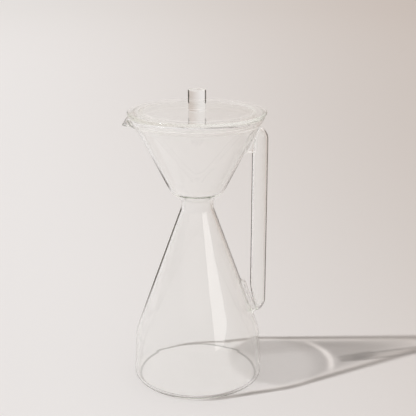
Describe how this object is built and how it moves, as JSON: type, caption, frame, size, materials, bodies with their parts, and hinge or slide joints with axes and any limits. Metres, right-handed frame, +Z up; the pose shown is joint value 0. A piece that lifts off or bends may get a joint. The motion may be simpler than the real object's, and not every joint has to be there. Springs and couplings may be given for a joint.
{
  "type": "pour over dripper carafe",
  "caption": "Clear glass hourglass pour-over dripper and carafe with a side tube handle, a small pouring spout and a loose flat lid with a knob.",
  "frame": {"origin": "middle of the base, on the surface the carafe stands on", "axes": "+Z up along the axis of the hourglass, +X towards the handle, -X towards the pouring spout"},
  "size_m": [0.1241, 0.1182, 0.2608],
  "materials": {
    "vessel_glass": "clear borosilicate, fire polished",
    "handle_glass": "clear borosilicate tube, fire polished",
    "lid_glass": "clear plate, rounded edge",
    "knob_glass": "clear solid rod, polished"
  },
  "bodies": {
    "carafe": {"flask_base": "vessel_glass", "lower_flask": "vessel_glass", "waist_neck": "vessel_glass", "upper_funnel": "vessel_glass", "rim_bead": "vessel_glass", "pour_spout": "vessel_glass", "handle_tube": "handle_glass", "handle_upper_weld": "handle_glass", "handle_lower_weld": "handle_glass"},
    "lid": {"lid_plate": "lid_glass", "lid_locating_ring": "lid_glass", "lid_knob": "knob_glass"}
  },
  "joints": [
    {"name": "lid_lift", "type": "slide", "parent": "carafe", "child": "lid", "axis": [0, 0, 1], "range_m": [0, 0.06]}
  ]
}
